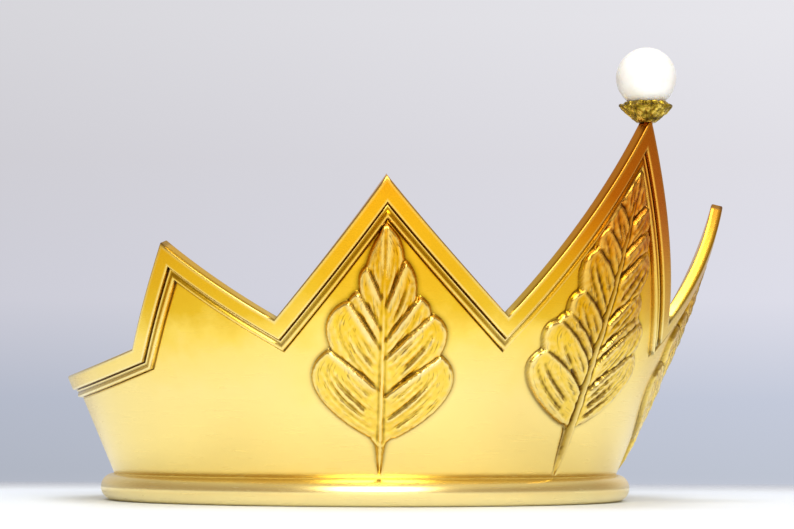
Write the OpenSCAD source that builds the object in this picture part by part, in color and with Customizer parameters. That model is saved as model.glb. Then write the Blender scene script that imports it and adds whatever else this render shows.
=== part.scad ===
// Gilded crown: a flared band of tooled sheet with a zigzag edge and leaves in relief,
// a half-round roll round its foot, and one pearl in a crimped cup on the front point.
// The band is drawn as the flat pattern that the sheet is cut to, and then rolled up.
// Sizes are in millimetres. The front point faces -Y and the foot stands on Z = 0.

/* [Wall] */
// Outer radius of the sheet at the foot
foot_r = 90.5; // [80:0.5:100]
// Angle of the lower wall from upright, in degrees
flare = 23; // [18:1:27]
// Slant height where the wall starts to curve back upright
bend_start = 65; // [55:1:90]
// Radius of that curve
bend_r = 330; // [300:10:600]
// Thickness of the sheet in the plain field
sheet_t = 2.2; // [1.8:0.1:3.5]

/* [Zigzag edge] */
// Slant height of the front point
front_h = 144; // [136:1:150]
// Slant height of the dips beside the front point
front_dip_h = 72; // [66:1:78]
// Slant height of the second points
second_h = 120; // [112:1:126]
// Slant height of the dips beyond the second points
side_dip_h = 70; // [64:1:76]
// Slant height of the third points
third_h = 98; // [92:1:106]
// Slant height of the shoulders below the third points
shoulder_h = 60; // [56:1:64]
// Slant height of the level edge at the back
back_h = 51; // [46:1:54]
// Angle from the front to the first dip, in degrees
front_dip_az = 21; // [19:0.5:23]
// Angle from the front to the second point, in degrees
second_az = 42; // [40:0.5:44]
// Angle from the front to the second dip, in degrees
side_dip_az = 60; // [58:0.5:62]
// Angle from the front to the third point, in degrees
third_az = 78; // [76:0.5:80]
// Angle from the front to the shoulder, in degrees
shoulder_az = 90; // [88:0.5:93]

/* [Border] */
// Width of the raised border along the edge
border_w = 5.5; // [4.5:0.1:6.5]
// Height of the border above the field
border_rise = 2.3; // [1.8:0.1:3]
// Size of the worn corners of the cut edge
edge_round = 0.5; // [0.3:0.1:0.9]
// Width of the groove inside the border
groove_w = 0.6; // [0.4:0.1:1]
// Depth of the groove below the border
groove_depth = 1.7; // [1.2:0.1:1.9]
// Width of the bead inside the groove
bead_w = 3; // [2:0.1:3.6]
// Height of the bead above the field
bead_rise = 1.5; // [1:0.1:1.7]
// Width of the line scribed inside the bead
line_w = 0.6; // [0.4:0.1:0.9]
// Depth of that line below the field
line_depth = 0.5; // [0.3:0.1:0.8]

/* [Leaves] */
// Gap between the foot roll and the foot of every stem
stem_gap = 1.1; // [0.5:0.1:3]
// Distance from the front point down to its leaf's tip
front_leaf_drop = 18; // [16:1:24]
// Half-width of the front leaf
front_leaf_w = 28; // [24:0.5:29]
// Distance from a second point down to its leaf's tip
second_leaf_drop = 16; // [14:1:22]
// Half-width of the second leaves
second_leaf_w = 24; // [20:0.5:26]
// Height of the lobes above the field
lobe_rise = 2.2; // [1.6:0.1:2.6]
// Depth of the vein pressed along each lobe
vein_depth = 0.5; // [0.2:0.1:0.8]
// Depth that the lobes are keyed into the sheet
lobe_root = 0.9; // [0.6:0.1:1.2]
// Radius of the midrib at the stem
rib_r = 1.2; // [0.9:0.1:1.5]
// Radius of the midrib at the leaf's tip
rib_tip_r = 0.5; // [0.4:0.1:0.8]

/* [Foot roll] */
// Height of the half-round roll
roll_h = 10; // [8:0.5:10.5]

/* [Pearl] */
// Diameter of the pearl
pearl_d = 21; // [16:0.5:24]
// Height cut off the front point to seat the cup
tip_trim = 2; // [1.6:0.1:3]
// Diameter of the cup at its rim
cup_d = 17; // [15:0.5:20]
// Diameter of the cup at its foot
cup_foot_d = 6.6; // [5:0.2:8]
// Height of the cup's rim above the seat
cup_rim_h = 5.4; // [4.6:0.2:7]
// Height of the pearl's underside above the seat
pearl_seat_h = 5.2; // [4:0.2:6.4]
// Clearance between the pearl and the cup
seat_gap = 0.2; // [0.1:0.05:0.4]
// Folds crimped into the cup
crimps = 9; // [6:1:12]
// Depth of the crimped folds
crimp_depth = 0.7; // [0.3:0.1:1]
// Diameter of the wire pin through the cup
pin_d = 1.2; // [0.8:0.1:1.4]
// Length of the pin inside the front point
pin_in_tip = 6; // [3:0.5:6]
// Length of the pin inside the pearl
pin_in_pearl = 11; // [6:0.5:12]
// Clearance round the pin
pin_gap = 0.1; // [0.05:0.05:0.2]

/* [Hidden] */
gold = [0.93, 0.72, 0.20];
dark_gold = [0.52, 0.40, 0.10];
ivory = [0.97, 0.94, 0.88];
steel = [0.70, 0.70, 0.72];
$fn = 96;

// Flat pattern: the sheet is a ring sector about the point where the cone's lines meet.
cone_slant = foot_r / sin(flare);
function flat(az, s) = (cone_slant + s) * [sin(az * sin(flare)), cos(az * sin(flare))];
function slant(p) = norm(p) - cone_slant;
function azimuth(p) = atan2(p[0], p[1]) / sin(flare);
function unit(v) = v / norm(v);
function mix(a, b, t) = a * (1 - t) + b * t;

// Rolled-up wall: radius and height at slant s, h above the field.
function lean(s) = flare - max(s - bend_start, 0) / bend_r * 180 / PI;
function wall_r(s, h) = foot_r + min(s, bend_start) * sin(flare)
    + bend_r * (cos(lean(s)) - cos(flare)) + h * cos(lean(s));
function wall_z(s, h) = min(s, bend_start) * cos(flare)
    + bend_r * (sin(flare) - sin(lean(s))) - h * sin(lean(s));
function rolled(s, az, h) = [wall_r(s, h) * sin(az), -wall_r(s, h) * cos(az), wall_z(s, h)];
function place(p, h) = rolled(slant(p), azimuth(p), h);

// Corners of the edge from the front to the back. Below the shoulder the cut runs straight
// until it touches the level back edge, which stays below the shoulder.
level_h = min(back_h, shoulder_h - 2);
run_out_az = shoulder_az + acos((cone_slant + level_h) / (cone_slant + shoulder_h)) / sin(flare);
corners = [
    flat(0, front_h),
    flat(front_dip_az, front_dip_h),
    flat(second_az, second_h),
    flat(side_dip_az, side_dip_h),
    flat(third_az, third_h),
    flat(shoulder_az, shoulder_h),
    flat(run_out_az, level_h)
];
last_corner = len(corners) - 1;

// Inward normals of the cuts, and the mitre at each corner that keeps offsets parallel.
function inward(d) = [d[1], -d[0]];
normals = [for (i = [0:last_corner - 1]) inward(unit(corners[i + 1] - corners[i]))];
function mitre(a, b) = (a + b) / (1 + a * b);
mitres = [for (i = [0:last_corner])
    i == 0 ? mitre([-normals[0][0], normals[0][1]], normals[0]) :
    i == last_corner ? normals[i - 1] : mitre(normals[i - 1], normals[i])];

// Columns across the band: a point on the edge and the way that its border runs inward.
column_w = 12;
function cuts(length) = ceil(length / column_w);
zigzag_columns = [for (i = [0:last_corner - 1])
    let (n = cuts(norm(corners[i + 1] - corners[i])))
    for (k = [0:n - 1])
    [mix(corners[i], corners[i + 1], k / n), mix(mitres[i], mitres[i + 1], k / n)]];
back_steps = cuts((180 - run_out_az) * PI / 180 * wall_r(level_h, 0));
back_columns = [for (k = [0:back_steps])
    let (p = flat(mix(run_out_az, 180, k / back_steps), level_h))
    [p, -unit(p)]];
half_columns = concat(zigzag_columns, back_columns);
function mirrored(c) = [[-c[0][0], c[0][1]], [-c[1][0], c[1][1]]];
columns = concat(half_columns, [for (i = [len(half_columns) - 2:-1:1]) mirrored(half_columns[i])]);

// Section across the edge: distance in from the cut and height above the field.
groove_end = border_w + groove_w;
bead_end = groove_end + bead_w;
field_start = bead_end + line_w;
bead_crest = 0.7;
bead_foot = 0.6;
edge_section = [
    [field_start, 0],
    [bead_end + line_w / 2, -line_depth],
    [bead_end, 0],
    [groove_end + bead_w * bead_crest, bead_rise],
    [groove_end, bead_rise * bead_foot],
    [border_w + groove_w / 2, border_rise - groove_depth],
    [border_w, border_rise],
    [edge_round, border_rise],
    [0, border_rise - edge_round],
    [0, edge_round - sheet_t],
    [edge_round, -sheet_t],
    [field_start, -sheet_t]
];
field_rows = 4;
inner_foot = -sheet_t * tan(flare);
function column_loop(c) =
    let (top = c[0] + field_start * c[1])
    let (az = azimuth(top), s = slant(top))
    concat(
        [for (k = [0:field_rows - 1]) rolled(s * k / field_rows, az, 0)],
        [for (e = edge_section) place(c[0] + e[0] * c[1], e[1])],
        [for (k = [field_rows - 1:-1:1]) rolled(s * k / field_rows, az, -sheet_t)],
        [rolled(inner_foot, az, -sheet_t)]);

// Triangles between neighbouring loops of equal length.
function strip(i, j, n) = [for (k = [0:n - 1])
    let (m = (k + 1) % n)
    for (t = [[i * n + k, j * n + k, i * n + m], [i * n + m, j * n + k, j * n + m]]) t];
function reversed(f) = [for (t = f) [t[2], t[1], t[0]]];

module wall() {
    loops = [for (c = columns) column_loop(c)];
    rows = len(loops[0]);
    count = len(loops);
    faces = [for (i = [0:count - 1]) each strip(i, (i + 1) % count, rows)];
    polyhedron([for (l = loops) each l], reversed(faces));
}

// Every stem starts just above the roll.
stem_foot_h = roll_h / cos(flare) + stem_gap;
second_leaf_top = second_h - second_leaf_drop;

// Leaf lobes from the stem up. Each row gives, as shares of the leaf's length and half-width,
// where the lobe's lower and upper edges leave the midrib, and how far out and how high its
// corner is. Then come the belly of its lower edge and the place of that belly's shoulder,
// as shares of the lobe's own length. The second leaves differ on their two sides.
front_lobes = [
    [0.12, 0.25, 0.84, 0.41, 0.43, 1.08],
    [0.22, 0.33, 0.75, 0.51, 0.37, 1.12],
    [0.31, 0.38, 0.64, 0.54, 0.31, 1.15],
    [0.35, 0.48, 0.52, 0.61, 0.37, 1.08],
    [0.45, 0.61, 0.48, 0.75, 0.35, 0.95],
    [0.58, 0.70, 0.39, 0.81, 0.31, 0.95],
    [0.68, 0.80, 0.29, 0.89, 0.35, 0.81],
    [0.77, 0.88, 0.01, 1.00, 0.40, 0.45]
];
second_front_lobes = [
    [0.12, 0.31, 0.85, 0.48, 0.44, 0.93],
    [0.26, 0.46, 0.71, 0.64, 0.39, 0.98],
    [0.40, 0.52, 0.52, 0.72, 0.37, 0.95],
    [0.46, 0.64, 0.30, 0.86, 0.28, 0.79],
    [0.59, 0.77, 0.02, 1.00, 0.28, 0.75]
];
second_back_lobes = [
    [0.13, 0.33, 0.77, 0.50, 0.47, 0.91],
    [0.27, 0.49, 0.50, 0.70, 0.43, 0.94],
    [0.41, 0.57, 0.35, 0.74, 0.24, 0.95],
    [0.48, 0.67, 0.25, 0.83, 0.20, 0.98],
    [0.59, 0.78, 0.02, 1.00, 0.28, 0.45]
];

// A lobe's lower edge is a curve with two handles, and its upper edge is bowed by one.
lobe_stations = 6;
lobe_end = 0.97;
lobe_lap = 0.3;
lobe_sides = [[0, 0.45], [0.12, 0.85], [0.34, 1], [0.5, 1], [0.66, 1], [0.9, 1.06], [1, 0.95]];
vein_side = 3;
handle_along = 0.39;
handle_out = 0.6;
bow = [0.28, 0.42];
root_height = 0.55;
root_share = 0.3;
function curve(a, b, c, d, t) =
    a * pow(1 - t, 3) + 3 * b * t * pow(1 - t, 2) + 3 * c * t * t * (1 - t) + d * pow(t, 3);
function lobe_low(root, tip, belly, shoulder, t) =
    let (along = tip - root)
    let (out = belly * [along[1], -along[0]])
    let (first = root + handle_along * along + handle_out * out)
    let (second = root + shoulder * along + out)
    curve(root, first, second, tip, t);
function lobe_high(root, tip, t) =
    let (turn = [mix(root[0], tip[0], bow[0]), mix(root[1], tip[1], bow[1])])
    mix(mix(root, turn, t), mix(turn, tip, t), t);
function rise_along(t) = t < root_share ? mix(root_height, 1, sin(90 * t / root_share)) : 1;
function vein_along(t) = vein_depth * sin(180 * t);

// One lobe on the leaf at angle az, on the side +1 or -1 of its midrib.
module lobe(row, az, length, half_w, side) {
    low_root = [-lobe_lap, stem_foot_h + row[0] * length];
    high_root = [-lobe_lap, stem_foot_h + row[1] * length];
    tip = [row[2] * half_w, stem_foot_h + row[3] * length];
    turned = az * sin(flare);
    on_leaf = function (p)
        let (y = p[1] + cone_slant)
        [side * p[0] * cos(turned) + y * sin(turned), y * cos(turned) - side * p[0] * sin(turned)];
    loops = [for (i = [0:lobe_stations])
        let (t = lobe_end * i / lobe_stations)
        let (low = lobe_low(low_root, tip, row[4], row[5], t), high = lobe_high(high_root, tip, t))
        concat(
            [for (k = [0:len(lobe_sides) - 1])
                let (e = lobe_sides[k])
                let (dip = k == vein_side ? vein_along(t) : 0)
                place(on_leaf(mix(low, high, e[0])), lobe_rise * e[1] * rise_along(t) - dip)],
            [place(on_leaf(high), -lobe_root), place(on_leaf(low), -lobe_root)])];
    n = len(loops[0]);
    last = lobe_stations * n;
    faces = concat(
        [for (i = [0:lobe_stations - 1]) each strip(i, i + 1, n)],
        [for (k = [1:n - 2]) [0, k, k + 1]],
        [for (k = [1:n - 2]) [last, last + k + 1, last + k]]);
    polyhedron([for (l = loops) each l], side > 0 ? reversed(faces) : faces);
}

// The midrib tapers from the stem to the leaf's tip.
rib_steps = 9;
rib_sides = 6;
module midrib(az, length) {
    for (i = [0:rib_steps - 1]) {
        hull() {
            rib_ball(az, length, i / rib_steps);
            rib_ball(az, length, (i + 1) / rib_steps);
        }
    }
}

stem_share = 0.15;
lift_from = 0.08;
lift_to = 0.28;
module rib_ball(az, length, t) {
    r = t < stem_share ? mix(rib_tip_r, rib_r, t / stem_share) : mix(rib_r, rib_tip_r, t);
    h = lobe_rise * root_height * min(max((t - lift_from) / (lift_to - lift_from), 0), 1);
    translate(rolled(stem_foot_h + t * length, az, h)) sphere(r, $fn = rib_sides);
}

module leaf(left_lobes, right_lobes, az, top_h, half_w) {
    length = top_h - stem_foot_h;
    for (row = left_lobes) lobe(row, az, length, half_w, -1);
    for (row = right_lobes) lobe(row, az, length, half_w, 1);
    midrib(az, length);
}

// The front point is trimmed level for the cup, whose middle is the middle of the sheet there.
seat_s = front_h - tip_trim;
seat_mid = (border_rise - sheet_t) / 2;
seat_z = wall_z(seat_s, seat_mid);
seat_y = -wall_r(seat_s, seat_mid);
pearl_z = seat_z + pearl_seat_h + pearl_d / 2;
pin_foot_z = seat_z - pin_in_tip;
pin_top_z = pearl_z - pearl_d / 2 + pin_in_pearl;
trim_size = cup_foot_d * 2;

module pin_hole() {
    translate([0, seat_y, pin_foot_z]) cylinder(h = pin_top_z - pin_foot_z, d = pin_d + 2 * pin_gap);
}

// Tooled sheet: wall, border, bead and leaves are worked in one piece.
module crown_band() {
    color(gold)
    difference() {
        union() {
            wall();
            leaf(front_lobes, front_lobes, 0, front_h - front_leaf_drop, front_leaf_w);
            leaf(second_back_lobes, second_front_lobes, -second_az, second_leaf_top, second_leaf_w);
            leaf(second_front_lobes, second_back_lobes, second_az, second_leaf_top, second_leaf_w);
        }
        translate([-trim_size / 2, seat_y - trim_size / 2, seat_z]) cube(trim_size);
        pin_hole();
    }
}

// Half-round roll, glued round the foot: its inner face lies on the flared wall.
roll_r = roll_h / 2;
roll_mid_r = foot_r + roll_h * tan(flare);
module base_roll() {
    color(gold)
    rotate_extrude() {
        difference() {
            union() {
                translate([roll_mid_r, roll_r]) circle(roll_r);
                translate([foot_r, 0]) square([roll_mid_r - foot_r, roll_h]);
            }
            polygon([[0, 0], [foot_r, 0], [roll_mid_r, roll_h], [0, roll_h]]);
        }
    }
}

// Section of the cup: radius, height above the seat and share of the crimp.
cup_lip = 0.9;
lip_in = 1.4;
cup_waist_r = mix(cup_foot_d, cup_d, 0.55) / 2;
cup_waist_h = cup_rim_h * 0.45;
seat_r = pearl_d / 2 + seat_gap;
pearl_up = pearl_seat_h + pearl_d / 2;
function seat_height(r) = pearl_up - sqrt(seat_r * seat_r - r * r);
lip_r = cup_d / 2 - lip_in;
rim_top_r = mix(cup_d / 2, lip_r, 0.2);
seat_inner_r = lip_r - lip_in;
seat_mid_r = seat_inner_r * 0.6;
bore_r = pin_d / 2 + pin_gap;
cup_section = [
    [bore_r, 0, 0],
    [cup_foot_d / 2, 0, 0.3],
    [cup_waist_r, cup_waist_h, 0.8],
    [cup_d / 2, cup_rim_h, 1],
    [rim_top_r, cup_rim_h + cup_lip, 1],
    [lip_r, seat_height(seat_inner_r) + cup_lip, 0.5],
    [seat_inner_r, seat_height(seat_inner_r), 0],
    [seat_mid_r, seat_height(seat_mid_r), 0],
    [bore_r, seat_height(bore_r), 0]
];
steps_per_crimp = 5;

// Crimped setting, folded from one disc round the pearl's underside.
module pearl_cup() {
    steps = crimps * steps_per_crimp;
    rows = len(cup_section);
    points = [for (i = [0:steps - 1])
        let (a = 360 * i / steps)
        let (wave = crimp_depth * cos(crimps * a))
        for (e = cup_section)
        let (r = e[0] + e[2] * wave)
        [r * cos(a), r * sin(a), e[1] + (e[1] > 0 ? e[2] * wave / 2 : 0)]];
    faces = [for (i = [0:steps - 1]) each strip(i, (i + 1) % steps, rows)];
    color(dark_gold)
    translate([0, seat_y, seat_z]) polyhedron(points, reversed(faces));
}

// Round pearl, drilled from below for its pin.
module pearl() {
    color(ivory)
    difference() {
        translate([0, seat_y, pearl_z]) sphere(d = pearl_d);
        pin_hole();
    }
}

// Wire pin that holds the pearl and the cup on the front point.
module pearl_pin() {
    color(steel)
    translate([0, seat_y, pin_foot_z]) cylinder(h = pin_top_z - pin_foot_z, d = pin_d);
}

crown_band();
base_roll();
pearl_cup();
pearl();
pearl_pin();
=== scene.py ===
import math

import bpy
import numpy as np
from mathutils import Matrix


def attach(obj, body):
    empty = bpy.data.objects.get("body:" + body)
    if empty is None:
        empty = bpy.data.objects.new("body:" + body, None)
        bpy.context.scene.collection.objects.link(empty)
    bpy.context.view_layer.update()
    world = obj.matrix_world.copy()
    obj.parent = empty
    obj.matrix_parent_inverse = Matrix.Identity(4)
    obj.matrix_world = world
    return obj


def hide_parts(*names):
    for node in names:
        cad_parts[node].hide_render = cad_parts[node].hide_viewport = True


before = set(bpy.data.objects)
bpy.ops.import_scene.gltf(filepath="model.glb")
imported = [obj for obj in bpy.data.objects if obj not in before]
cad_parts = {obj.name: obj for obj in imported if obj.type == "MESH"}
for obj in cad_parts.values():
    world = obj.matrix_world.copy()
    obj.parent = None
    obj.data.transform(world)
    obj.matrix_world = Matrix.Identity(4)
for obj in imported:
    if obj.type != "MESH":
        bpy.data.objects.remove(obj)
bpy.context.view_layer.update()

# Crown band: one sheet of hide, cut flat to a zigzag and tooled with a border and three leaves
# while it lies flat. It is then rolled into a flared ring, glued at the back and gilded all over.
# Sizes on the flat pattern are in millimetres, as the maker cuts it.
MM = 0.001
foot_r = 90.5
flare = math.radians(23)
bend_start = 65.0
bend_r = 330.0
sheet_t = 2.2
cone_slant = foot_r / math.sin(flare)


def flat_point(az_deg, slant):
    """Place on the flat pattern of a point at an angle round the crown and a height up its wall."""
    turn = math.radians(az_deg) * math.sin(flare)
    return np.array([(cone_slant + slant) * math.sin(turn), (cone_slant + slant) * math.cos(turn)])


def slant_and_azimuth(flat):
    """Height up the wall and angle round the crown of points on the flat pattern."""
    slant = np.hypot(flat[..., 0], flat[..., 1]) - cone_slant
    return slant, np.arctan2(flat[..., 0], flat[..., 1]) / math.sin(flare)


def roll_up(slant, azimuth, rise):
    """The rolled wall in metres: a cone that curves upright above bend_start, rise above its face."""
    lean = flare - np.maximum(slant - bend_start, 0) / bend_r
    cone = np.minimum(slant, bend_start)
    bent_out = bend_r * (np.cos(lean) - math.cos(flare))
    bent_up = bend_r * (math.sin(flare) - np.sin(lean))
    radius = foot_r + cone * math.sin(flare) + bent_out + rise * np.cos(lean)
    height = cone * math.cos(flare) + bent_up - rise * np.sin(lean)
    return np.stack([radius * np.sin(azimuth), -radius * np.cos(azimuth), height], -1) * MM


# Zigzag cut, as angle from the front and height up the wall, from the front point to the level back.
shoulder_az, shoulder_h, back_h = 90.0, 60.0, 51.0
run_out = math.degrees(math.acos((cone_slant + back_h) / (cone_slant + shoulder_h)) / math.sin(flare))
back_az = shoulder_az + run_out
zigzag = [(0, 144), (21, 72), (42, 120), (60, 70), (78, 98), (shoulder_az, shoulder_h), (back_az, back_h)]
cut_corners = [flat_point(*corner) for corner in zigzag]


def cut_normal(a, b):
    """Direction into the sheet from the cut between two corners."""
    along = (b - a) / np.linalg.norm(b - a)
    return np.array([along[1], -along[0]])


cut_normals = [cut_normal(a, b) for a, b in zip(cut_corners, cut_corners[1:])]
cut_normals.insert(0, cut_normals[0] * (-1, 1))
mitres = [(a + b) / (1 + a @ b) for a, b in zip(cut_normals, cut_normals[1:])] + [cut_normals[-1]]

# Columns of the mesh: each cut in stretches of (share of the cut, number of columns), closer where
# a leaf lies and wide where the sheet is plain.
cut_stretches = [
    [(0.78, 19), (1, 4)], [(0.27, 4), (1, 18)], [(0.80, 17), (1, 3)], [(1, 12)], [(1, 8)], [(1, 22)]]
back_columns = 24
column_edges, column_ways = [], []
for i, stretches in enumerate(cut_stretches):
    start = 0
    for end, count in stretches:
        for k in range(count):
            at = start + (end - start) * k / count
            column_edges.append(cut_corners[i] * (1 - at) + cut_corners[i + 1] * at)
            column_ways.append(mitres[i] * (1 - at) + mitres[i + 1] * at)
        start = end
for k in range(back_columns + 1):
    edge = flat_point(back_az + (180 - back_az) * k / back_columns, back_h)
    column_edges.append(edge)
    column_ways.append(-edge / np.linalg.norm(edge))
half_edges, half_ways = np.array(column_edges), np.array(column_ways)

# Border from its inner line out to the cut and round to the inside:
# distance from the cut, height above the field, share of painted shade in the hollows, share of pale
# paint on the arrises and crests, partly worn gold and partly painted highlight.
border_rows = np.array([
    (9.80, 0.00, 0.00, 0.0), (9.62, -0.15, 0.30, 0.0), (9.47, -0.48, 1.00, 0.0), (9.32, -0.50, 1.00, 0.0),
    (9.18, -0.10, 0.30, 0.2), (9.06, 0.50, 0.00, 0.5), (8.86, 1.12, 0.00, 1.0), (8.55, 1.48, 0.00, 0.8),
    (8.20, 1.52, 0.00, 0.2), (7.80, 1.36, 0.15, 0.0), (7.40, 1.08, 0.35, 0.0), (7.02, 0.82, 0.60, 0.0),
    (6.74, 0.84, 0.45, 0.0), (6.52, 1.10, 0.00, 0.6), (6.32, 1.20, 0.00, 1.0), (6.16, 1.00, 0.20, 0.4),
    (6.02, 0.58, 1.00, 0.0), (5.80, 0.45, 1.00, 0.0), (5.64, 0.90, 0.90, 0.0), (5.52, 1.85, 0.20, 0.2),
    (5.36, 2.25, 0.00, 1.0), (5.10, 2.35, 0.00, 0.7), (4.60, 2.34, 0.00, 0.0), (3.00, 2.32, 0.00, 0.0),
    (1.40, 2.31, 0.00, 0.0), (0.62, 2.29, 0.00, 0.6), (0.30, 2.20, 0.00, 1.0), (0.10, 2.02, 0.60, 0.0),
    (0.00, 1.70, 0.60, 0.0), (0.00, 0.60, 0.00, 0.3), (0.00, -0.80, 0.00, 0.3), (0.00, -1.75, 0.00, 0.3),
    (0.15, -2.05, 0.10, 0.3), (0.50, -2.20, 0.00, 0.1), (4.00, -2.20, 0.00, 0.0), (9.80, -2.20, 0.00, 0.0)])
field_start = border_rows[0, 0]

# A leaf may lap over the border as far out as the end of its bead.
bead_end = 7.4

# Leaves, each side of the midrib from the stem up. Each lobe gives where its lower and upper edges
# leave the midrib, how far out and how high its corner is, and how far its lower edge bellies and
# how far up that belly's shoulder lies, as shares of the lobe's own length.
stem_foot = 12.0
front_lobes = [
    (29.5, 41.0, 23.6, 58.7, 0.43, 1.08), (37.0, 50.0, 21.0, 70.1, 0.37, 1.12),
    (47.0, 55.0, 17.9, 73.0, 0.31, 1.15), (52.0, 66.5, 14.6, 81.4, 0.37, 1.08),
    (63.0, 82.0, 13.4, 96.9, 0.35, 0.95), (78.0, 92.0, 10.9, 104.4, 0.31, 0.95),
    (89.0, 103.0, 8.2, 113.8, 0.35, 0.81), (100.0, 112.0, 0.4, 126.5, 0.40, 0.45)]
second_right = [
    (23.3, 40.5, 20.3, 56.1, 0.44, 0.93), (36.0, 54.0, 17.0, 71.2, 0.39, 0.98),
    (49.0, 60.0, 12.4, 77.8, 0.37, 0.95), (54.0, 71.0, 7.1, 90.9, 0.28, 0.79),
    (66.0, 83.0, 0.4, 104.0, 0.28, 0.75)]
second_left = [
    (24.3, 42.5, 18.5, 58.2, 0.47, 0.91), (37.0, 57.0, 12.1, 76.2, 0.43, 0.94),
    (49.5, 63.5, 9.0, 79.6, 0.28, 0.95), (56.0, 74.0, 6.0, 88.4, 0.20, 0.98),
    (66.0, 84.0, 0.4, 104.0, 0.28, 0.45)]

# A lobe's full height, its lip and the painted highlight on it, the depths of the line round the leaf, of the
# field sunk beside it and of the hammering, and how the tooling comes and goes: shares of the way
# along or across a lobe, and what the tooling is worth there.
lobe_full = 2.1
lip_in, lip_w = 0.85, 0.65
shine_in, shine_w = 1.3, 0.9
outline_d, sink_d, sink_w, hammer_d = 0.85, 0.5, 2.6, 0.09
swell_along = (0, 0.1, 0.35, 0.65, 1), (0.62, 0.78, 1.0, 0.94, 0.56)
tilt_across = (0, 0.15, 0.5, 0.85, 1), (0.60, 0.75, 0.93, 1.06, 1.02)
cleft_along = (0.03, 0.2, 0.5, 1), (0.2, 0.5, 1, 0.8)
lip_along = (0.08, 0.35, 1), (0, 0.9, 1.1)
lip_shine_along = (0.15, 0.4, 0.9, 1), (0, 1, 1, 0.6)
tracer_along = (0.08, 0.28, 0.75, 0.97), (0, 1, 1, 0)

# Veins cut in each lobe: place across it, depth, share of the blade's width, room that the vein needs.
lobe_veins = [
    (0.48, 1.0, 1.05, 1), (0.25, 0.85, 0.9, 3), (0.72, 0.75, 0.8, 3), (0.36, 0.5, 0.67, 6),
    (0.60, 0.5, 0.67, 6), (0.14, 0.5, 0.67, 6), (0.84, 0.4, 0.62, 6)]
raster, leaf_half_w = 0.2, 40


def soften(sheet, reach):
    """A sheet of heights pressed soft over a reach in millimetres, by three box passes each way."""
    half = max(int(round(reach / raster)), 1)
    size = 2 * half + 1
    for axis in (0, 1):
        for _ in range(3):
            margin = [(half + 1, half) if a == axis else (0, 0) for a in (0, 1)]
            total = np.cumsum(np.pad(sheet, margin, mode="edge"), axis)
            count = total.shape[axis]
            ahead = np.take(total, np.arange(size, count), axis)
            behind = np.take(total, np.arange(0, count - size), axis)
            sheet = (ahead - behind) / size
    return sheet


def within_lobe(across, up, lobe, bow):
    """Shares along a lobe from midrib to corner and from its lower to its upper edge, and its width."""
    low_root, high_root, corner_out, corner_up, belly, shoulder = lobe
    t = np.linspace(0, 0.99, 61)[:, None]
    root, corner = np.array([0, low_root]), np.array([corner_out, corner_up])
    along = corner - root
    bulge = belly * np.array([along[1], -along[0]])
    first, second = root + 0.39 * along + 0.6 * bulge, root + shoulder * along + bulge
    low = (root * (1 - t) ** 3 + 3 * first * t * (1 - t) ** 2
           + 3 * second * t ** 2 * (1 - t) + corner * t ** 3)
    peak = np.array([0.2, high_root])
    turn = np.array([bow[0] * corner_out, high_root + bow[1] * (corner_up - high_root)])
    span = peak * (1 - t) ** 2 + 2 * turn * t * (1 - t) + corner * t ** 2 - low
    dx, dy = across[:, None] - low[:, 0], up[:, None] - low[:, 1]
    side = dx * span[:, 1] - dy * span[:, 0]
    width = np.hypot(span[:, 0], span[:, 1])
    share = (dx * span[:, 0] + dy * span[:, 1]) / width ** 2
    crossing = (side[:, :-1] * side[:, 1:] <= 0) & (np.abs(share[:, :-1] - 0.5) < 1.0)
    k = crossing.argmax(1)
    i = np.arange(len(across))
    part = side[i, k] / np.where(side[i, k] == side[i, k + 1], 1, side[i, k] - side[i, k + 1])
    part = np.clip(part, 0, 1)
    along_share = t[k, 0] * (1 - part) + t[k + 1, 0] * part
    sideways = share[i, k] * (1 - part) + share[i, k + 1] * part
    return crossing.any(1), along_share, sideways, width[k] * (1 - part) + width[k + 1] * part


def bell(off, wide):
    """A round-topped stroke of the given half width."""
    return np.exp(-(off / wide) ** 2)


def cut_line(off, wide, burr):
    """A line cut with a bevelled blade: a groove with a burr on the side towards the stem."""
    return bell(off, wide) - burr * bell(off + 2.1 * wide, 1.3 * wide)


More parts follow.
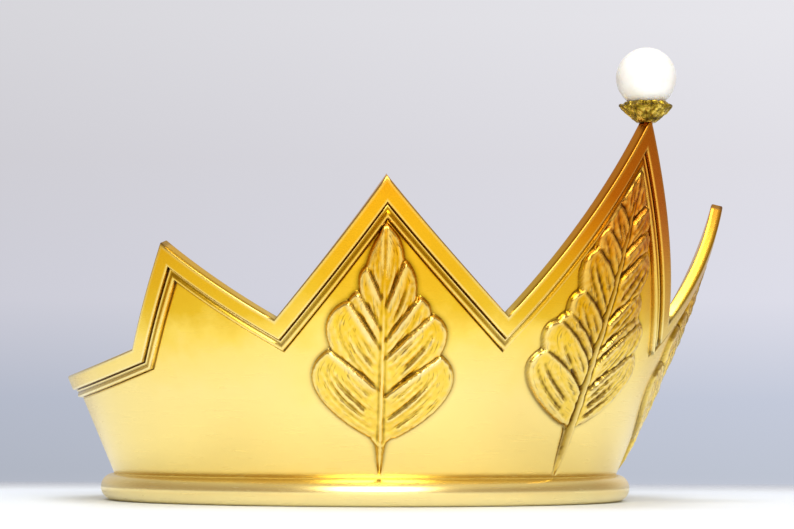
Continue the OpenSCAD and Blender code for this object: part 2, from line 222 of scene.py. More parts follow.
def tooled_leaf(left, right, bow, rib_w, rib_cut_d, rib_cut_w, rib_shade,
                cleft_d, cleft_off, cleft_w, blade_w, lip_h, tarnish_and_shade, seed):
    """Sheets of a leaf pressed into the hide, over a fine raster about its midrib."""
    draw = np.random.default_rng(seed)
    top = max(left[-1][3], right[-1][3])
    across = np.arange(-leaf_half_w, leaf_half_w + 0.01, raster)
    up = np.arange(stem_foot - 8, top + 12, raster)
    out, high = np.meshgrid(across, up)
    wide = np.abs(out)
    rise, body, trace_along, trace_across, traced, lip = np.zeros((6, *out.shape))
    # The lobes are laid from the tip down, so that each laps over the one above it, with a cleft
    # pressed beside its upper edge, a lip along that edge and veins cut with a blade.
    for lobes, hand in ((left, -1), (right, 1)):
        for lobe in reversed(lobes):
            low_root, _, corner_out, corner_up, _, _ = lobe
            near = (out * hand >= 0) & (out * hand < 34) & (high > low_root - 14) & (high < corner_up + 5)
            found, along, sideways, width = within_lobe(out[near] * hand, high[near], lobe, bow)
            inside = found & (sideways >= 0) & (sideways <= 1)
            gap = (sideways - 1) * width
            in_cleft = found & (gap > 0) & (gap < 4) & (along > 0.03) & (corner_out > 1)
            cleft = cleft_d * bell(gap - cleft_off, cleft_w) * np.interp(along, *cleft_along)
            pressed = rise[near] - np.where(in_cleft, cleft, 0)
            raised = lobe_full * np.interp(sideways, *tilt_across) * np.interp(along, *swell_along)
            raised += lip_h * bell(gap + lip_in, lip_w) * np.interp(along, *lip_along)
            drift = 0.09 * np.sin(along * 2.4 + draw.uniform(0, 1.2))
            for place, depth, blade, room in lobe_veins:
                start, end = draw.uniform(0.03, 0.26), draw.uniform(0.55, 0.9)
                off = (sideways - place - draw.uniform(-0.05, 0.05) - drift) * width
                stroke = np.interp(along, (start, start + 0.08, 0.6 * end, end), (0, 1, 0.9, 0))
                fits = np.clip((width - room) / 3, 0, 1)
                raised -= depth * stroke * fits * cut_line(off, blade * blade_w, 1.35 * lip_h)
            clear = np.clip(np.minimum(sideways, 1 - sideways) * width / 1.2, 0, 1)
            lobe_run = math.hypot(corner_out, corner_up - low_root)
            # Just inside each lobe's upper edge, below the cleft, the lip sheet lays a band of painted
            # highlight.
            for sheet, laid in (
                    (trace_along, along * lobe_run),
                    (trace_across, sideways * width + low_root + 9 * hand),
                    (traced, clear * np.interp(along, *tracer_along)),
                    (lip, bell(gap + shine_in, shine_w) * np.interp(along, *lip_shine_along)),
                    (body, 1)):
                sheet[near] = np.where(inside, laid, sheet[near])
            rise[near] = np.where(inside, raised, pressed)
    # The two sides meet under the midrib, which is a ridge between two cut lines, and the stem
    # opens upwards into the leaf in one sweep.
    core = (wide < 0.9) & (high > 25) & (high < top - 0.8)
    rise = np.where(core, np.maximum(rise, 1.25), rise)
    body = np.maximum(body, core)
    lift = (left[0][0] + right[0][0]) / 2 - 23.8
    sweep = (stem_foot, 14, 20, 23.2 + lift, 24.4 + lift, 25.3 + lift, 25.8 + lift, 26.2 + lift)
    stem_w = np.interp(high, sweep, (0.3, 0.7, 1.2, 1.7, 2.2, 3.2, 4.2, 40.0))
    body = np.where(wide < stem_w, body, 0)
    stem = (wide < np.minimum(stem_w, 4.2)) & (high > stem_foot) & (high < 25.8 + lift)
    stem_h = np.interp(high, (stem_foot, 16, 26), (0.35, 1.0, 1.45))
    rise = np.where(stem & (body < 0.5), stem_h, rise)
    body = np.maximum(body, stem)
    rib = np.interp(high, (stem_foot + 4, 24, 40, top), (0.3, rib_w, rib_w, 0.3))
    rib_line = np.interp(high, (stem_foot + 6, 24, top - 14, top - 4), (0, 0.8, 0.75, 0))
    rib_h = np.interp(high, (stem_foot + 4, 26, 50, top), (0.0, 0.75, 0.75, 0.2))
    rise -= rib_cut_d * rib_line * bell(wide - rib - 0.3, rib_cut_w)
    rise += rib_h * np.clip(1 - (wide / (rib + 0.15)) ** 2, 0, 1) * body
    # The leaf's edge is rounded over, a line is cut round it, the field beside it is pressed down,
    # and the leaf is lightly hammered.
    edge = soften(body, 0.5)
    rise *= np.clip((edge - 0.44) / 0.5, 0, 1) ** 0.55 * body
    rise -= (1 - body) * (outline_d * np.clip(edge * 2, 0, 1) ** 1.5 + sink_d * soften(body, sink_w))
    hammered = soften(draw.normal(0, 1, out.shape), 0.5)
    rise += hammer_d * body * hammered / hammered.std()
    rise = soften(rise, 0.2)
    # Painted shade darkens the cut lines, the rim, the sides of the midrib and the low places beside
    # the clefts. The crests and the lobes' lips are painted pale: the crests partly as worn gold and
    # partly as painted highlight, the lips as painted highlight.
    mean = soften(rise, 1.7 * blade_w)
    rim = body * np.clip(1 - np.abs(edge - 0.7) / 0.22, 0, 1)
    flank = body * np.clip(wide / (0.7 * rib), 0, 1) * (wide < rib + 0.3) * (high > stem_foot + 6)
    # Broad painted shade in the low places beside the clefts and the cut lines.
    low_shade = np.clip((soften(rise, 1.6) - rise - 0.1) / 0.9, 0, 1)
    lines = np.clip((mean - rise - 0.09) * tarnish_and_shade / 0.36, 0, 1) * (0.65 + 0.35 * body)
    hollow = np.max([lines, 0.5 * rim, rib_shade * flank, 0.6 * low_shade], 0)
    crest = 0.6 * np.clip((rise - mean) / 0.34, 0, 1)
    rub_and_highlight = np.maximum(crest, 1.7 * lip_h * lip) * (1 - hollow)
    reach = soften(body, 1.0)
    return across[0], up[0], rise, body, hollow, rub_and_highlight, reach, trace_along, trace_across, traced


front_leaf = tooled_leaf(
    front_lobes, front_lobes, bow=(0.17, 0.5), rib_w=1.25, rib_cut_d=1.3, rib_cut_w=0.42, rib_shade=0.6,
    cleft_d=1.2, cleft_off=0.55, cleft_w=1.0, blade_w=0.62, lip_h=0.32, tarnish_and_shade=1.3, seed=3)
second_leaf = tooled_leaf(
    second_left, second_right, bow=(0.28, 0.42), rib_w=0.62, rib_cut_d=0.8, rib_cut_w=0.34, rib_shade=0.0,
    cleft_d=1.9, cleft_off=0.26, cleft_w=0.42, blade_w=0.42, lip_h=0.55, tarnish_and_shade=0.75, seed=8)
second_az = 42
leaf_places = [(front_leaf, 0, 1), (second_leaf, -second_az, 1), (second_leaf, second_az, -1)]


def read_leaves(slant, azimuth):
    """Rise, body, hollow, rub, reach and the three tracer sheets of the leaves, at points of the band."""
    azimuth = (azimuth + math.pi) % (2 * math.pi) - math.pi
    found = None
    for leaf, axis_deg, hand in leaf_places:
        turn = (azimuth - math.radians(axis_deg)) * math.sin(flare)
        out = hand * (cone_slant + slant) * np.sin(turn)
        high = (cone_slant + slant) * np.cos(turn) - cone_slant
        x0, y0, *sheets = leaf
        rows, cols = sheets[0].shape
        fx, fy = (out - x0) / raster, (high - y0) / raster
        on = (fx > 0) & (fx < cols - 1.01) & (fy > 0) & (fy < rows - 1.01)
        ix, iy = np.clip(fx.astype(int), 0, cols - 2), np.clip(fy.astype(int), 0, rows - 2)
        u, v = np.clip(fx - ix, 0, 1), np.clip(fy - iy, 0, 1)
        read = [np.where(on, (s[iy, ix] * (1 - u) + s[iy, ix + 1] * u) * (1 - v)
                         + (s[iy + 1, ix] * (1 - u) + s[iy + 1, ix + 1] * u) * v, 0) for s in sheets]
        if found is None:
            found = read
        else:
            found = [np.where(np.abs(b) > np.abs(a), b, a) for a, b in zip(found, read)]
    return found


# The sheet rolled out: angle round the crown, height up the wall and height above the field of each
# row of the mesh, up the field, over the border and down the inside. The right half mirrors the left.
plain_top, plain_rows, leaf_rows, inside_rows = 22.0, 8, 47, 7
field_rows = plain_rows + leaf_rows
top_slant, top_azimuth = slant_and_azimuth(half_edges + field_start * half_ways)
low = np.arange(plain_rows) / plain_rows * plain_top
close = plain_top + (top_slant[:, None] - plain_top) * np.arange(leaf_rows) / leaf_rows
field_slant = np.concatenate([np.broadcast_to(low, (len(top_slant), plain_rows)), close], 1)
border_flat = half_edges[:, None] + border_rows[:, 0][None, :, None] * half_ways[:, None]
border_slant, border_azimuth = slant_and_azimuth(border_flat)
inside_share = 1 - np.arange(1, inside_rows) / inside_rows
inside_foot = np.full((len(top_slant), 1), -sheet_t * math.tan(flare))
inside_slant = np.concatenate([top_slant[:, None] * inside_share, inside_foot], 1)
slant = np.concatenate([field_slant, border_slant, inside_slant], 1)
azimuth = np.concatenate([
    np.repeat(top_azimuth[:, None], field_rows, 1), border_azimuth,
    np.repeat(top_azimuth[:, None], inside_rows, 1)], 1)
profile = np.concatenate([
    np.zeros((field_rows, 3)), border_rows[:, 1:], np.tile((-sheet_t, 0, 0), (inside_rows, 1))])
tooled_rows = np.arange(len(profile)) < field_rows + np.argmax(border_rows[:, 0] < bead_end)
marks = np.column_stack([profile, tooled_rows])
slant = np.concatenate([slant, slant[-2::-1]])
azimuth = np.concatenate([azimuth, (2 * math.pi - azimuth)[-2::-1]])
slant = np.column_stack([slant, slant[:, 0]])
azimuth = np.column_stack([azimuth, azimuth[:, 0]])
marks = np.vstack([marks, marks[:1]])


def read_points(piece):
    """The places of a mesh's vertices."""
    flat = np.empty(len(piece.data.vertices) * 3)
    piece.data.vertices.foreach_get("co", flat)
    return flat.reshape(-1, 3)


def move_points(piece, points):
    """Give a mesh's vertices new places."""
    piece.data.vertices.foreach_set("co", points.astype(np.float32).ravel())
    piece.data.update()


def new_sheet(name, columns, rows):
    """A flat sheet to be shaped, with the column and the row of each of its vertices."""
    bpy.ops.object.select_all(action="DESELECT")
    bpy.ops.mesh.primitive_grid_add(x_subdivisions=columns - 1, y_subdivisions=rows - 1, size=1)
    piece = bpy.context.object
    piece.name = name
    at = (read_points(piece)[:, :2] + 0.5) * (columns - 1, rows - 1)
    return piece, *np.rint(at).astype(int).T


def set_mark(piece, name, values):
    """Store a number at every vertex, for the finish to read."""
    mark = piece.data.attributes.get(name) or piece.data.attributes.new(name, "FLOAT", "POINT")
    mark.data.foreach_set("value", np.asarray(values, np.float32))


def read_mark(piece, name):
    """The numbers stored at a mesh's vertices."""
    values = np.empty(len(piece.data.vertices))
    piece.data.attributes[name].data.foreach_get("value", values)
    return values


def face_corners(piece):
    """The vertex at each corner of a mesh's faces."""
    corners = np.empty(len(piece.data.loops), int)
    piece.data.loops.foreach_get("vertex_index", corners)
    return corners


def lay_pattern(piece, pattern):
    """Give the UV map a place in metres for every vertex."""
    laid = pattern[face_corners(piece)].astype(np.float32)
    piece.data.uv_layers[0].data.foreach_set("uv", laid.ravel())


def close_seams():
    """Merge the seams of the sheet in hand, now rolled, and turn its faces outwards."""
    bpy.ops.object.mode_set(mode="EDIT")
    bpy.ops.mesh.select_all(action="SELECT")
    bpy.ops.mesh.remove_doubles(threshold=2e-6)
    bpy.ops.mesh.normals_make_consistent(inside=False)
    bpy.ops.object.mode_set(mode="OBJECT")
    bpy.ops.object.shade_smooth()


band, column, row = new_sheet("tooled_band", *slant.shape)
move_points(band, np.column_stack([azimuth[column, row], slant[column, row], marks[row, 0]]))
for k, name in enumerate(("hollow", "rub_and_highlight", "tooled"), 1):
    set_mark(band, name, marks[row, k])

# Faces under the leaves are divided finely before the leaves are tooled.
around, up_wall, _ = read_points(band).T
near_leaf = (read_leaves(up_wall, around)[4] > 0.02) & (read_mark(band, "tooled") > 0.5)
near_faces = near_leaf[face_corners(band)].reshape(-1, 4).any(1)
bpy.ops.object.mode_set(mode="EDIT")
bpy.ops.mesh.select_mode(type="FACE")
bpy.ops.mesh.select_all(action="DESELECT")
bpy.ops.object.mode_set(mode="OBJECT")
band.data.polygons.foreach_set("select", near_faces)
bpy.ops.object.mode_set(mode="EDIT")
bpy.ops.mesh.subdivide(number_cuts=3, smoothness=0)
bpy.ops.object.mode_set(mode="OBJECT")

# The leaves are tooled on the field and lap over the bead, and the sheet is rolled up.
around, up_wall, base = read_points(band).T
leaf_rise, leaf_body, leaf_hollow, leaf_rub_and_highlight, _, *traces = read_leaves(up_wall, around)
tooled = read_mark(band, "tooled") > 0.99
on_field = tooled & (np.abs(base) < 1e-6)
over_bead = tooled & ~on_field & (leaf_body > 0.5) & (leaf_rise > base)
set_mark(band, "leaf", np.where(tooled, leaf_body, 0))
for name, leaf_share in (("hollow", leaf_hollow), ("rub_and_highlight", leaf_rub_and_highlight)):
    border_share = read_mark(band, name)
    set_mark(band, name, np.where(tooled, np.maximum(border_share, leaf_share), border_share))
for name, trace in zip(("trace_along", "trace_across", "traced"), traces):
    set_mark(band, name, np.where(tooled, trace, 0))
pattern_r = 0.1
lay_pattern(band, np.column_stack([around * pattern_r, up_wall * MM]))
move_points(band, roll_up(up_wall, around, np.where(on_field | over_bead, leaf_rise, base)))
close_seams()

# The front point is cut off level to seat the cup.
seat_slant, seat_rise = 142.0, 0.05
_, seat_y, seat_z = roll_up(np.array(seat_slant), np.array(0.0), np.array(seat_rise)).tolist()
bpy.ops.object.mode_set(mode="EDIT")
bpy.ops.mesh.select_all(action="SELECT")
bpy.ops.mesh.bisect(plane_co=(0, 0, seat_z), plane_no=(0, 0, 1), use_fill=True, clear_outer=True)
bpy.ops.object.mode_set(mode="OBJECT")


def node_adder(tree):
    """The call that adds a node to a finish or a light, and fills or links its inputs."""
    def add(kind, inputs=None, **settings):
        node = tree.nodes.new(kind)
        for key, value in settings.items():
            setattr(node, key, value)
        for key, value in (inputs or {}).items():
            if isinstance(value, bpy.types.NodeSocket):
                tree.links.new(value, node.inputs[key])
            else:
                node.inputs[key].default_value = value
        return node

    return add


def new_finish(name):
    """A new finish with its shader, and the calls that add a node to it and link one to the shader."""
    finish = bpy.data.materials.new(name)
    finish.use_nodes = True
    shader = finish.node_tree.nodes["Principled BSDF"]

    def link(source, key):
        finish.node_tree.links.new(source, shader.inputs[key])

    return finish, shader, node_adder(finish.node_tree), link


def colour_ramp(add, share, stops):
    """A ramp through (share, colour) stops."""
    ramp = add("ShaderNodeValToRGB", {"Fac": share})
    while len(ramp.color_ramp.elements) < len(stops):
        ramp.color_ramp.elements.new(0.5)
    for element, (at, colour) in zip(ramp.color_ramp.elements, stops):
        element.position = at
        element.color = (*colour, 1)
    return ramp.outputs["Color"]


def reckon(add, operation, *values):
    """A sum worked on numbers or on what other nodes give."""
    return add("ShaderNodeMath", dict(enumerate(values)), operation=operation).outputs[0]


def carry(add, value, low, high, to_low=0.0, to_high=1.0, **settings):
    """A value carried from one range to another and held at its ends."""
    ends = {"From Min": low, "From Max": high, "To Min": to_low, "To Max": to_high}
    return add("ShaderNodeMapRange", {"Value": value, **ends}, **settings).outputs[0]


def mottling(add, at, scale, detail, **more):
    """Uneven speckling at a scale."""
    return add("ShaderNodeTexNoise", {"Vector": at, "Scale": scale, "Detail": detail, **more}).outputs["Fac"]


def lay_over(add, share, under, over, **settings):
    """A colour laid over another by a share."""
    return add("ShaderNodeMix", {"Factor": share, "A": under, "B": over},
               data_type="RGBA", **settings).outputs["Result"]


def marked(add, name):
    """The number stored at the vertices under a name."""
    return add("ShaderNodeAttribute", attribute_name=name).outputs["Fac"]


# Gilding: leaf gold, with painted reflection in its colour: pale low on the wall, where the wall
# mirrors the white floor, and deeper orange further up the wall and deeper again on the front
# point, where they mirror the dim room. Painted shade darkens the tooled lines and the tracer's
# fine strokes, and the arrises are painted pale, partly as worn gold and partly as painted
# highlight. The gilding is brushed round the band. Heights are in metres.
gold_top, mottle_h = 0.14, 0.03
# Painted reflection: how far up the gold ramp the front point is pushed, towards deep orange.
front_from, front_to, front_reflection_deeper = -0.112, -0.142, 0.045
# Painted reflection: gold by height, pale near the foot and deep orange up the wall.
gold_and_reflection_up_wall = [
    (0.0, (1.0, 0.72, 0.21)), (0.08, (1.0, 0.78, 0.27)), (0.26, (1.0, 0.78, 0.27)),
    (0.38, (1.0, 0.74, 0.19)), (0.44, (0.96, 0.67, 0.10)), (0.50, (0.81, 0.49, 0.025)),
    (0.56, (0.78, 0.43, 0.014)), (0.70, (0.75, 0.37, 0.008)), (0.84, (0.70, 0.25, 0.004)),
    (1.0, (0.60, 0.155, 0.002))]
# Pale paint by height for the arrises, crests and lips: partly worn gold, partly painted highlight.
rub_and_highlight_up_wall = [
    (0.42, (1.0, 0.91, 0.54)), (0.56, (1.0, 0.83, 0.28)), (0.78, (1.0, 0.74, 0.16)), (1.0, (1.0, 0.62, 0.09))]
# The leaves' tint, the dark brown of the painted shade, and how strongly painted shade and pale paint are
# laid.
leaf_tint, shade_brown = (0.95, 0.85, 0.36, 1), (0.075, 0.022, 0.001, 1)
shade_share, rub_and_highlight_share = 0.96, 0.6
tracer_long, tracer_close = 0.15, 1.25
strokes_per_m = (45, 1900, 1)
satin_low, satin_high, leaf_polish = 0.25, 0.28, -0.07

gilt, shader, add, link = new_finish("gilding")
shader.inputs["Metallic"].default_value = 1.0
coords = add("ShaderNodeTexCoord").outputs
place = add("ShaderNodeSeparateXYZ", {"Vector": coords["Object"]}).outputs
mottle = mottling(add, coords["Object"], scale=38.0, detail=5.0, Roughness=0.6)
wander = reckon(add, "MULTIPLY_ADD", mottle, mottle_h, -mottle_h / 2)
gold_level = reckon(add, "ADD", place["Z"], wander)
# Painted reflection: the front point is made deeper orange.
front_reflection = carry(add, place["Y"], front_from, front_to, to_high=front_reflection_deeper)
gold_level = reckon(add, "ADD", gold_level, front_reflection)
gold_share = carry(add, gold_level, 0.0, gold_top)
gold = colour_ramp(add, gold_share, gold_and_reflection_up_wall)
on_leaf = marked(add, "leaf")
gold = lay_over(add, on_leaf, gold, leaf_tint, blend_type="MULTIPLY")

tracer_u = reckon(add, "MULTIPLY", marked(add, "trace_along"), tracer_long)
tracer_v = reckon(add, "MULTIPLY", marked(add, "trace_across"), tracer_close)
tracer_at = add("ShaderNodeCombineXYZ", {"X": tracer_u, "Y": tracer_v}).outputs[0]
traced = marked(add, "traced")
tracer = mottling(add, tracer_at, scale=1.0, detail=2.0, Roughness=0.55)
# Painted shade in the tracer's strokes and in the hollows.
scores = reckon(add, "MULTIPLY", carry(add, tracer, 0.57, 0.67, to_high=0.6), traced)
deepest = reckon(add, "MAXIMUM", marked(add, "hollow"), scores)
gold = lay_over(add, reckon(add, "MULTIPLY", deepest, shade_share), gold, shade_brown)
# Pale paint: partly worn gold and partly painted highlight on crests, arrises and lips, and painted floor
# reflection on the foot roll's lower half.
rub_and_highlight_weight = reckon(add, "MULTIPLY", marked(add, "rub_and_highlight"), rub_and_highlight_share)
gold = lay_over(add, rub_and_highlight_weight, gold, colour_ramp(add, gold_share, rub_and_highlight_up_wall))
link(gold, "Base Color")

strokes_at = add("ShaderNodeMapping", {"Vector": coords["UV"], "Scale": strokes_per_m}).outputs[0]
strokes = mottling(add, strokes_at, scale=1.0, detail=3.0, Roughness=0.6)
grain = mottling(add, coords["Object"], scale=1500.0, detail=2.0)
satin = carry(add, strokes, 0.25, 0.75, satin_low, satin_high)
link(reckon(add, "MULTIPLY_ADD", on_leaf, leaf_polish, satin), "Roughness")
brushed = reckon(add, "MULTIPLY_ADD", strokes, 0.7, grain)
brushing = add("ShaderNodeBump", {"Height": brushed, "Strength": 0.06, "Distance": 0.00006}).outputs[0]
furrow = reckon(add, "MULTIPLY", tracer, traced)
furrows = add("ShaderNodeBump", {"Height": furrow, "Strength": 0.5, "Distance": 0.0005, "Normal": brushing},
              invert=True)
link(furrows.outputs[0], "Normal")

band.data.materials.append(gilt)
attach(band, "root")
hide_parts("crown_band")

# Foot roll: a half-round cord of hide, gilded like the band and glued round its foot.
# Its inner face lies on the flared wall and its underside is flat where the crown stands.
roll_h = 10.0
roll_mid = foot_r + roll_h * math.tan(flare)
round_steps, flat_steps, roll_steps = 40, 8, 288
# Painted shade in the crease where the roll meets the wall, and the roll's lower half painted pale as a
# reflection of the white floor.
join_shade, join_w = 0.3, 1.2
floor_reflection_top, floor_reflection_fade = 7, 4
arc = np.linspace(math.pi / 2, -math.pi / 2, round_steps)
roll_section = np.concatenate([
    np.stack([roll_mid + roll_h / 2 * np.cos(arc), roll_h / 2 + roll_h / 2 * np.sin(arc)], -1),
    np.linspace((roll_mid, 0), (foot_r, 0), flat_steps)[1:],
    np.linspace((foot_r, 0), (roll_mid, roll_h), flat_steps)[1:]])
roll, column, row = new_sheet("foot_roll", roll_steps + 1, len(roll_section))
turn = 2 * math.pi * column / roll_steps
roll_r, roll_z = roll_section[row].T
# Painted shade at the join with the wall, and painted floor reflection on the lower half.
set_mark(roll, "hollow", join_shade * np.clip(1 - np.abs(roll_z - roll_h) / join_w, 0, 1))
set_mark(roll, "rub_and_highlight", np.clip((floor_reflection_top - roll_z) / floor_reflection_fade, 0, 1))
set_mark(roll, "leaf", np.zeros(len(row)))
lay_pattern(roll, np.column_stack([turn * pattern_r, row * 0.0004]))
move_points(roll, np.column_stack([roll_r * np.sin(turn), -roll_r * np.cos(turn), roll_z]) * MM)
close_seams()
bpy.ops.object.shade_smooth_by_angle(angle=math.radians(40))
roll.data.materials.append(gilt)
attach(roll, "root")
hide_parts("base_roll")

# Pearl cup: a disc of thin brass, crumpled by hand into a crimped cup on the front point.
# It is left darker than the gilding.
# Its section gives radius, height and the share of the folds there.
cup_section = np.array([
    (0.7, 0.0, 0.0), (3.2, 0.0, 0.2), (3.6, 0.4, 0.4), (4.4, 1.1, 0.6), (5.2, 1.8, 0.7), (6.0, 2.5, 0.8),
    (6.8, 3.2, 0.9), (7.6, 4.0, 1.0), (8.4, 4.8, 1.0), (9.0, 5.5, 1.0), (9.1, 5.9, 1.0), (8.7, 6.1, 1.0),
    (7.8, 6.2, 0.8), (7.1, 7.3, 0.4), (5.7, 6.6, 0.0), (3.4, 5.5, 0.0), (0.7, 5.0, 0.0)])
crimps, crimp_d, cup_steps = 9, 0.34, 126
dip_d, dip_way = 0.5, math.radians(225)
brass_tarnish = [(0.34, (0.07, 0.04, 0.003)), (0.50, (0.36, 0.235, 0.018)), (0.64, (0.95, 0.70, 0.13))]
cup_section = np.vstack([cup_section, cup_section[:1]])
cup, column, row = new_sheet("crimped_cup", cup_steps + 1, len(cup_section))
turn = 2 * math.pi * column / cup_steps
draw = np.random.default_rng(5)
folds = crimp_d * np.cos(crimps * turn)
for waves in (2, 5, 13, 17):
    fold_d, twist, start = draw.uniform(0.14, 0.24), draw.uniform(-0.1, 0.1), draw.uniform(0, 6)
    folds = folds + fold_d * np.cos(waves * turn + row * twist + start)
dents = draw.normal(0, 0.07, (cup_steps, len(cup_section)))
dents = (dents + np.roll(dents, 1, 0) + np.roll(dents, 1, 1))[column % cup_steps, row]
dip = dip_d * np.cos(turn - dip_way)
cup_r, cup_up, cup_fold = cup_section[row].T
cup_r = cup_r + (folds + dents) * cup_fold
cup_up = cup_up + np.where(cup_up > 0, (folds / 2 - dents - dip) * cup_fold, 0)
cup_points = np.column_stack([cup_r * np.cos(turn), cup_r * np.sin(turn), cup_up]) * MM
move_points(cup, cup_points + (0, seat_y, seat_z))
close_seams()
bpy.ops.object.shade_smooth_by_angle(angle=math.radians(25))
brass, shader, add, link = new_finish("dark_crumpled_brass")
shader.inputs["Metallic"].default_value = 1.0
coords = add("ShaderNodeTexCoord").outputs
creases = add("ShaderNodeTexVoronoi", {"Vector": coords["Object"], "Scale": 520.0},
              feature="DISTANCE_TO_EDGE")
# On the cup this is tarnish alone, uneven at random.
tarnish_and_shade = mottling(add, coords["Object"], scale=420.0, detail=6.0, Roughness=0.65)
link(colour_ramp(add, tarnish_and_shade, brass_tarnish), "Base Color")
link(carry(add, tarnish_and_shade, 0.3, 0.7, to_low=0.36, to_high=0.2), "Roughness")
crumple = reckon(add, "MULTIPLY_ADD", creases.outputs["Distance"], 1.4, tarnish_and_shade)
link(add("ShaderNodeBump", {"Height": crumple, "Strength": 0.6, "Distance": 0.0005}).outputs[0], "Normal")
cup.data.materials.append(brass)
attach(cup, "root")
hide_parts("pearl_cup")

# Pearl pin: a length of drawn steel wire that holds the cup and the pearl on the front point.
# It is pushed through them and glued, so none of it shows, and its solid from the CAD is enough.
wire_tones = [(0.3, (0.58, 0.58, 0.60)), (0.7, (0.74, 0.74, 0.76))]
draw_marks_per_m = (4000, 4000, 120)
wire, shader, add, link = new_finish("drawn_wire")
shader.inputs["Metallic"].default_value = 1.0
coords = add("ShaderNodeTexCoord").outputs
drawn_at = add("ShaderNodeMapping", {"Vector": coords["Object"], "Scale": draw_marks_per_m}).outputs[0]
drawn = mottling(add, drawn_at, scale=1.0, detail=2.0)
link(colour_ramp(add, drawn, wire_tones), "Base Color")
link(carry(add, drawn, 0.0, 1.0, to_low=0.25, to_high=0.4), "Roughness")
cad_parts["pearl_pin"].data.materials.clear()
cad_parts["pearl_pin"].data.materials.append(wire)

# Pearl: one round bead of pressed nacre, a little uneven, with a hole drilled from below.
# It is pushed down on its pin and glued, and rests on the floor of the cup.
pearl_r, cup_floor = 0.0105, 0.0052
pearl_z = seat_z + cup_floor + pearl_r
uneven_h, drill_r, drill_d = 0.00004, 0.0009, 0.0008
nacre_tones = [(0.30, (0.86, 0.835, 0.745)), (0.52, (0.88, 0.87, 0.81)), (0.72, (0.88, 0.85, 0.80))]
bpy.ops.object.select_all(action="DESELECT")
bpy.ops.mesh.primitive_uv_sphere_add(segments=96, ring_count=64, radius=pearl_r)
pearl = bpy.context.object
pearl.name = "nacre_pearl"
spots = read_points(pearl)
unit = spots / np.linalg.norm(spots, axis=1)[:, None]
uneven = uneven_h * np.sin(3 * unit[:, 0] + 2) * np.cos(2.3 * unit[:, 2] + 4 * unit[:, 1])
drill = np.hypot(spots[:, 0], spots[:, 1])
dimple = np.where(spots[:, 2] < 0, bell(drill, drill_r) * drill_d, 0)
spots = unit * (pearl_r + uneven)[:, None] + np.outer(dimple, (0, 0, 1)) + (0, seat_y, pearl_z)
move_points(pearl, spots)
bpy.ops.object.shade_smooth()
nacre, shader, add, link = new_finish("nacre")
coords = add("ShaderNodeTexCoord").outputs
layers = mottling(add, coords["Object"], scale=130.0, detail=3.0, Distortion=0.6)
link(colour_ramp(add, layers, nacre_tones), "Base Color")
link(carry(add, layers, 0.0, 1.0, to_low=0.22, to_high=0.34), "Roughness")
for socket, value in (
        ("Subsurface Weight", 0.35), ("Subsurface Radius", (1.0, 0.8, 0.6)), ("Subsurface Scale", 0.003),
        ("Coat Weight", 0.4), ("Coat Roughness", 0.15), ("Sheen Weight", 0.05)):
    shader.inputs[socket].default_value = value
pearl.data.materials.append(nacre)
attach(pearl, "root")
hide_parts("pearl")

# Floor: a white table top under the crown, with a painted pool of light: white near the crown and greyer
# further off.
# Behind the crown it fades into the pale room, so that no edge of it shows.
pooled_table_tones = [(0.0, (0.82, 0.88, 0.94)), (1.0, (0.60, 0.57, 0.55))]
pool_from, pool_to, pool_shift = 0.28, 0.5, (0.085, 0.085, 0)
fade_way, fade_from, fade_to = (0.705, 0.709, 0), 0.15, 0.32
bpy.ops.object.select_all(action="DESELECT")
bpy.ops.mesh.primitive_plane_add(size=6, location=(0, 0, 0))
floor = bpy.context.object
floor.name = "white_floor"
bpy.ops.object.mode_set(mode="EDIT")
bpy.ops.mesh.subdivide(number_cuts=6)
bpy.ops.object.mode_set(mode="OBJECT")


def along_way(add, place, way):
    """How far a place lies along a direction."""
    return add("ShaderNodeVectorMath", {0: place, 1: way}, operation="DOT_PRODUCT").outputs["Value"]


white, shader, add, link = new_finish("white_table")
shader.inputs["Roughness"].default_value = 0.6
coords = add("ShaderNodeTexCoord").outputs
nearer = add("ShaderNodeVectorMath", {0: coords["Object"], 1: pool_shift}, operation="ADD").outputs[0]
away = add("ShaderNodeVectorMath", {0: nearer}, operation="LENGTH").outputs["Value"]
# Painted pool of light: white round the crown, greyer further away.
link(colour_ramp(add, carry(add, away, pool_from, pool_to), pooled_table_tones), "Base Color")
link(carry(add, along_way(add, coords["Object"], fade_way), fade_from, fade_to, 1.0, 0.0), "Alpha")
floor.data.materials.append(white)

# Light: a room that is pale behind the crown and dim in front of it, with a broad soft lamp over
# the camera's shoulder and a smaller one overhead.
room_up_wall = [
    (0.0, (0.80, 0.80, 0.82)), (0.30, (0.78, 0.79, 0.82)), (0.455, (0.48, 0.515, 0.60)),
    (0.522, (0.51, 0.545, 0.65)), (0.61, (0.67, 0.67, 0.75)), (0.735, (0.69, 0.68, 0.73)),
    (0.86, (0.745, 0.738, 0.776))]
dim_tone = (0.40, 0.34, 0.30, 1)
paler_way, dim_way = (0.709, -0.705, 0.0), (-0.62, -0.78, 0.0)
scene = bpy.context.scene
scene.view_settings.view_transform = "Standard"
room = bpy.data.worlds.new("pale_room")
scene.world = room
room.use_nodes = True
sky = room.node_tree.nodes["Background"]
add = node_adder(room.node_tree)
gaze = add("ShaderNodeTexCoord").outputs["Generated"]
gaze_up = add("ShaderNodeSeparateXYZ", {"Vector": gaze}).outputs["Z"]
wall_tone = colour_ramp(add, carry(add, gaze_up, -0.2, 0.2), room_up_wall)
paler = carry(add, along_way(add, gaze, paler_way), -0.2, 0.2, to_low=0.87, to_high=1.11)
wall_light = add("ShaderNodeVectorMath", {0: wall_tone, "Scale": paler}, operation="SCALE").outputs[0]
soft = {"interpolation_type": "SMOOTHSTEP"}
in_front = carry(add, along_way(add, gaze, dim_way), -0.96, -0.45, to_high=0.95, **soft)
above_floor = carry(add, gaze_up, -0.65, -0.35, **soft)
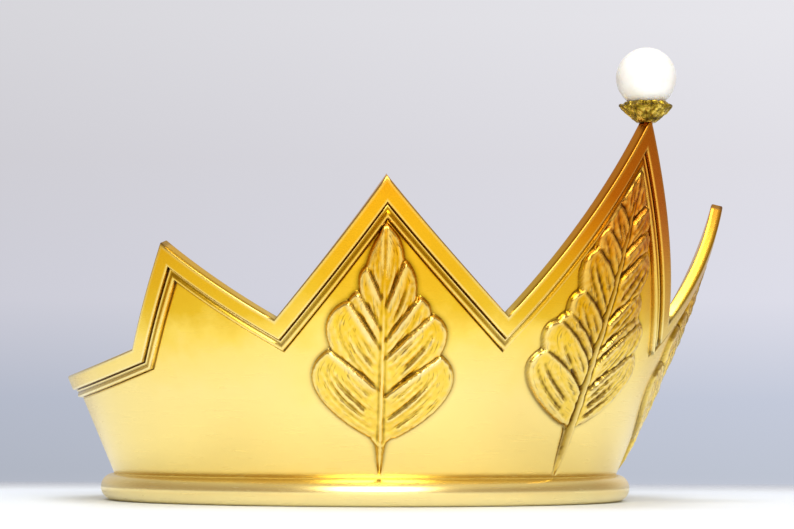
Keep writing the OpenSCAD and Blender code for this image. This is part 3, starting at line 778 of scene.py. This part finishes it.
below_ceiling = carry(add, gaze_up, 0.3, 0.8, to_low=1.0, to_high=0.25, **soft)
dim = reckon(add, "MULTIPLY", in_front, reckon(add, "MULTIPLY", above_floor, below_ceiling))
room.node_tree.links.new(lay_over(add, dim, wall_light, dim_tone), sky.inputs["Color"])
sky.inputs["Strength"].default_value = 1.0


def soft_lamp(name, at, aim, size, power):
    """A square soft lamp that faces a point."""
    bpy.ops.object.light_add(type="AREA", location=at)
    lamp = bpy.context.object
    lamp.name = name
    lamp.data.size = size
    lamp.data.energy = power
    way = np.array(aim) - np.array(at)
    tilt = math.acos(-way[2] / np.linalg.norm(way))
    lamp.rotation_euler = (tilt, 0, math.atan2(way[1], way[0]) - math.pi / 2)


soft_lamp("high_lamp", at=(-0.12, -0.18, 1.6), aim=(0, -0.05, 0.02), size=0.7, power=9)
soft_lamp("key_lamp", at=(-0.88, -1.05, 0.72), aim=(0, -0.05, 0.05), size=1.0, power=17.5)

# Camera: low on the table, an eighth of a turn round from the front point, with a long lens.
# It looks up a little, and its place, tilt and lens are those fitted to the photograph.
camera_far, camera_up = 1.0665, 0.02876
camera_turn = math.radians(44.85)
pitch, yaw, tilt = math.radians(3.252), math.radians(0.626), math.radians(0.225)
focal_px, photo_w = 2804.8, 794
forward = np.array([math.sin(yaw) * math.cos(pitch), math.cos(yaw) * math.cos(pitch), math.sin(pitch)])
right = np.array([math.cos(yaw), -math.sin(yaw), 0])
upward = np.cross(right, forward)
across_axis = math.cos(tilt) * right + math.sin(tilt) * upward
up_axis = -math.sin(tilt) * right + math.cos(tilt) * upward
view = np.eye(4)
view[:3, :3] = np.stack([across_axis, up_axis, -forward], 1)
view[:3, 3] = (0, -camera_far, camera_up)
bpy.ops.object.camera_add()
camera = bpy.context.object
camera.data.sensor_width = 36
camera.data.lens = focal_px * camera.data.sensor_width / photo_w
camera.data.clip_start = 0.01
camera.matrix_world = Matrix.Rotation(-camera_turn, 4, "Z") @ Matrix(view.tolist())
scene.camera = camera
